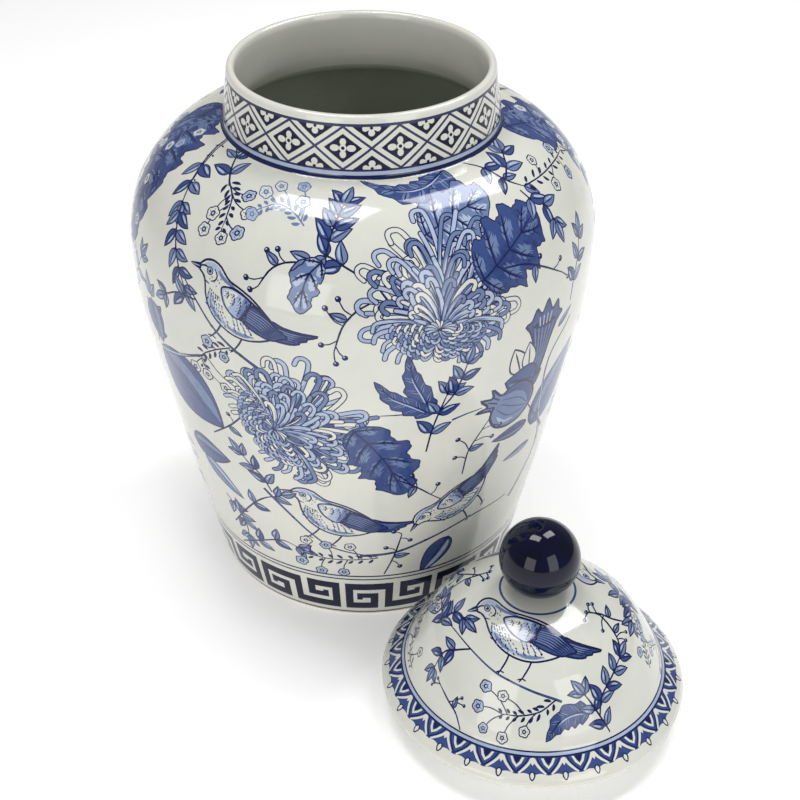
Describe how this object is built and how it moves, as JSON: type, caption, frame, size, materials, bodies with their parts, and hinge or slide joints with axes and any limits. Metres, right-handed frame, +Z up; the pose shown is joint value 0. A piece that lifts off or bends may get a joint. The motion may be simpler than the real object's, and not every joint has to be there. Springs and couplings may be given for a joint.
{
  "type": "ginger jar",
  "caption": "Lidded porcelain ginger jar with a broad shoulder, short neck and wide mouth, its domed lid with a ball knob lying beside it.",
  "frame": {"origin": "centre of the footprint of the jar and the lid together, on the surface they stand on", "axes": "+Z up along the jar's and the lid's own turning axes; the jar axis is at x -21.5 mm, y +53.4 mm and the lid axis at x +66.8 mm, y -98.6 mm, so the lid lies towards -Y and a little towards +X"},
  "size_m": [0.295, 0.3588, 0.3036],
  "materials": {
    "jar_glaze": "glossy clear glaze over warm white porcelain, painted in cobalt blue",
    "lid_glaze": "glossy clear glaze over warm white porcelain, painted in cobalt blue",
    "collar_glaze": "thin clear glaze, unglazed on the standing edge",
    "cobalt_glaze": "very glossy solid cobalt glaze, nearly black"
  },
  "bodies": {
    "jar": {"jar_body": "jar_glaze"},
    "lid": {"lid_shell": "lid_glaze", "lid_collar": "collar_glaze", "lid_knob": "cobalt_glaze"}
  },
  "joints": [
    {"name": "lid_lift", "type": "slide", "parent": "jar", "child": "lid", "axis": [0.2512, -0.4323, 0.866], "range_m": [0, 0.36]}
  ]
}
